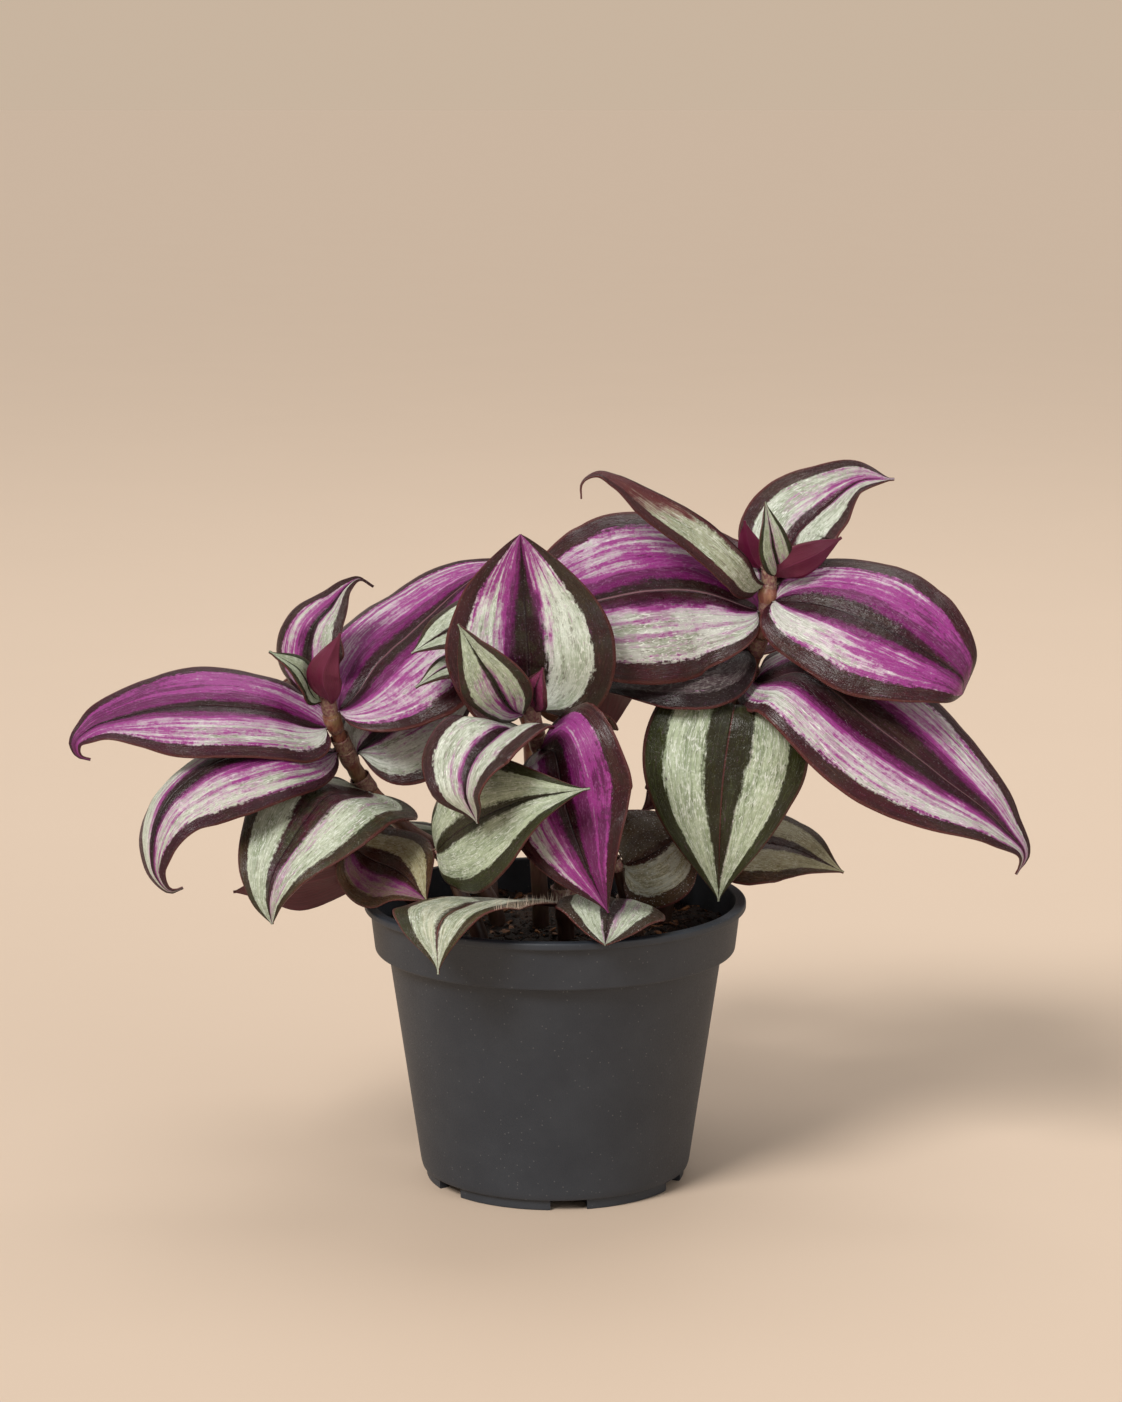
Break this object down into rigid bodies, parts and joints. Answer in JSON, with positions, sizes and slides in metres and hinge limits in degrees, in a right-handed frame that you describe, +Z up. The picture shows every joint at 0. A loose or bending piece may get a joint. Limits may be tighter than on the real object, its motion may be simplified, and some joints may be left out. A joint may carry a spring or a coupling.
{
  "type": "potted tradescantia",
  "caption": "Trailing house plant with broad pointed leaves striped silver, purple and magenta, standing in a round dark plastic nursery pot filled with potting mix.",
  "frame": {"origin": "centre of the pot's base, on the surface that the pot stands on", "axes": "+Z up along the pot's axis, -Y towards the plant's fullest side, +X to that side's right"},
  "size_m": [0.2564, 0.1679, 0.1973],
  "materials": {
    "pot_plastic": "matt charcoal, moulded",
    "potting_mix": "loose dark mix with bark chips and fibres",
    "stem_skin": "smooth living stem, red-brown",
    "leaf_silver": "silver bands on dark purple, satin leaf",
    "leaf_magenta": "magenta and silver bands on dark purple, satin leaf",
    "leaf_green": "green and silver bands, satin leaf",
    "leaf_maroon": "deep red underside, satin leaf"
  },
  "bodies": {
    "root": {"pot": "pot_plastic", "soil": "potting_mix", "stem_left": "stem_skin", "stem_low_left": "stem_skin", "stem_centre": "stem_skin", "stem_mid": "stem_skin", "stem_front_left": "stem_skin", "stem_front_right": "stem_skin", "stem_back_left": "stem_skin", "stem_back_centre": "stem_skin", "stem_back_right": "stem_skin", "stem_right": "stem_skin", "leaf_left_long": "leaf_magenta", "leaf_left_drooping": "leaf_silver", "leaf_left_low": "leaf_silver", "leaf_left_inner": "leaf_magenta", "leaf_left_under": "leaf_silver", "leaf_left_upright": "leaf_silver", "leaf_left_bud": "leaf_green", "leaf_left_young": "leaf_maroon", "leaf_low_right": "leaf_silver", "leaf_low_back": "leaf_maroon", "leaf_centre_heart": "leaf_silver", "leaf_centre_left": "leaf_green", "leaf_centre_fold": "leaf_silver", "leaf_centre_bud": "leaf_green", "leaf_centre_down": "leaf_magenta", "leaf_mid_upper": "leaf_green", "leaf_mid_lower": "leaf_green", "leaf_mid_right": "leaf_silver", "leaf_front_green": "leaf_green", "leaf_front_rim": "leaf_green", "leaf_front_middle": "leaf_silver", "leaf_front_curled": "leaf_green", "leaf_right_broad": "leaf_magenta", "leaf_right_under": "leaf_silver", "leaf_right_rolled": "leaf_silver", "leaf_right_top": "leaf_silver", "leaf_right_bud": "leaf_green", "leaf_right_young": "leaf_maroon", "leaf_right_outer": "leaf_magenta", "leaf_right_long": "leaf_magenta", "leaf_right_hanging": "leaf_green", "leaf_right_small": "leaf_green", "leaf_right_back": "leaf_maroon", "leaf_back_left_wide": "leaf_magenta", "leaf_back_left_side": "leaf_silver", "leaf_back_left_high": "leaf_silver", "leaf_back_left_hanging": "leaf_silver", "leaf_back_left_low": "leaf_green", "leaf_back_centre_right": "leaf_silver", "leaf_back_centre_left": "leaf_silver", "leaf_back_centre_hanging": "leaf_silver", "leaf_back_centre_low": "leaf_green", "leaf_back_right_wide": "leaf_magenta", "leaf_back_right_side": "leaf_silver", "leaf_back_right_tall": "leaf_silver", "leaf_back_right_hanging": "leaf_silver", "leaf_back_right_low": "leaf_green"}
  },
  "joints": []
}
